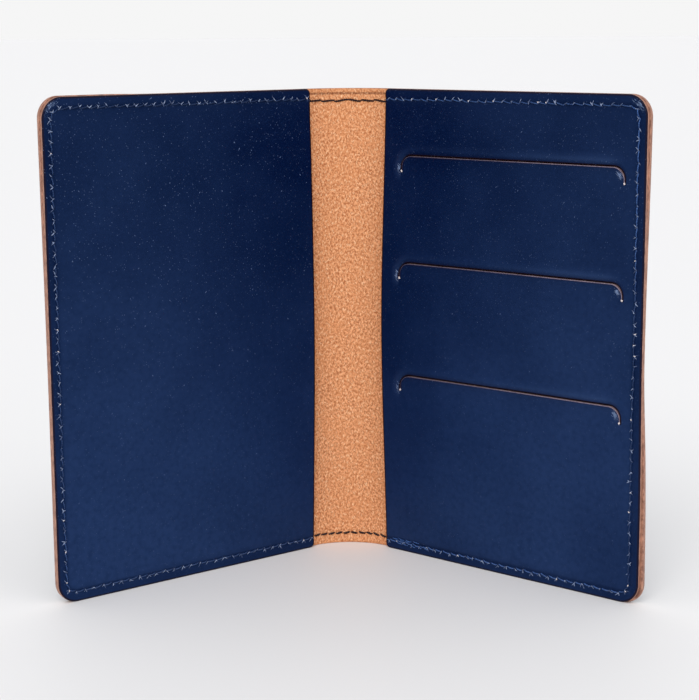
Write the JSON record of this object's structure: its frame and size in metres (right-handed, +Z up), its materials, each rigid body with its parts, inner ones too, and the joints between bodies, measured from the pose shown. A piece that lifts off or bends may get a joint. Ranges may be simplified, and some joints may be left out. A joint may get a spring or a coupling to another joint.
{
  "type": "passport holder",
  "caption": "Leather passport holder standing open: outer cover with a curved spine, a plain passport pocket, a pocket with card slots, and a stitched edge.",
  "frame": {"origin": "the middle of the bottom of the bounding box, on the surface that the holder stands on", "axes": "+Z up; +X across the covers, towards the back cover with the card slots; +Y from the open side to the spine"},
  "size_m": [0.1686, 0.0654, 0.145],
  "materials": {
    "outer_leather": "smooth satin navy grain outside, tan flesh side inside, burnished tan edges",
    "pocket_leather": "smooth satin navy grain, dark edges at the pocket mouths",
    "thread": "waxed polyester sewing thread, dark navy"
  },
  "bodies": {
    "spine": {"outer_cover_spine": "outer_leather", "needle_thread_spine_top": "thread", "needle_thread_spine_bottom": "thread", "bobbin_thread_spine_top": "thread", "bobbin_thread_spine_bottom": "thread"},
    "front_cover": {"outer_cover_front": "outer_leather", "passport_pocket": "pocket_leather", "needle_thread_front_top": "thread", "needle_thread_front_bottom": "thread", "needle_thread_front_side": "thread", "bobbin_thread_front_top": "thread", "bobbin_thread_front_bottom": "thread", "bobbin_thread_front_side": "thread"},
    "back_cover": {"outer_cover_back": "outer_leather", "card_pocket": "pocket_leather", "back_tack": "thread", "needle_thread_back_top": "thread", "needle_thread_back_bottom": "thread", "needle_thread_back_side": "thread", "bobbin_thread_back_top": "thread", "bobbin_thread_back_bottom": "thread", "bobbin_thread_back_side": "thread"}
  },
  "joints": [
    {"name": "front_cover_fold", "type": "hinge", "parent": "spine", "child": "front_cover", "pos_m": [-0.00668, 0.03057, 0.0725], "axis": [0, 0, 1], "range_deg": [-39.3, 53.8]},
    {"name": "back_cover_fold", "type": "hinge", "parent": "spine", "child": "back_cover", "pos_m": [0.00668, 0.03057, 0.0725], "axis": [0, 0, -1], "range_deg": [-39.3, 53.8]}
  ]
}
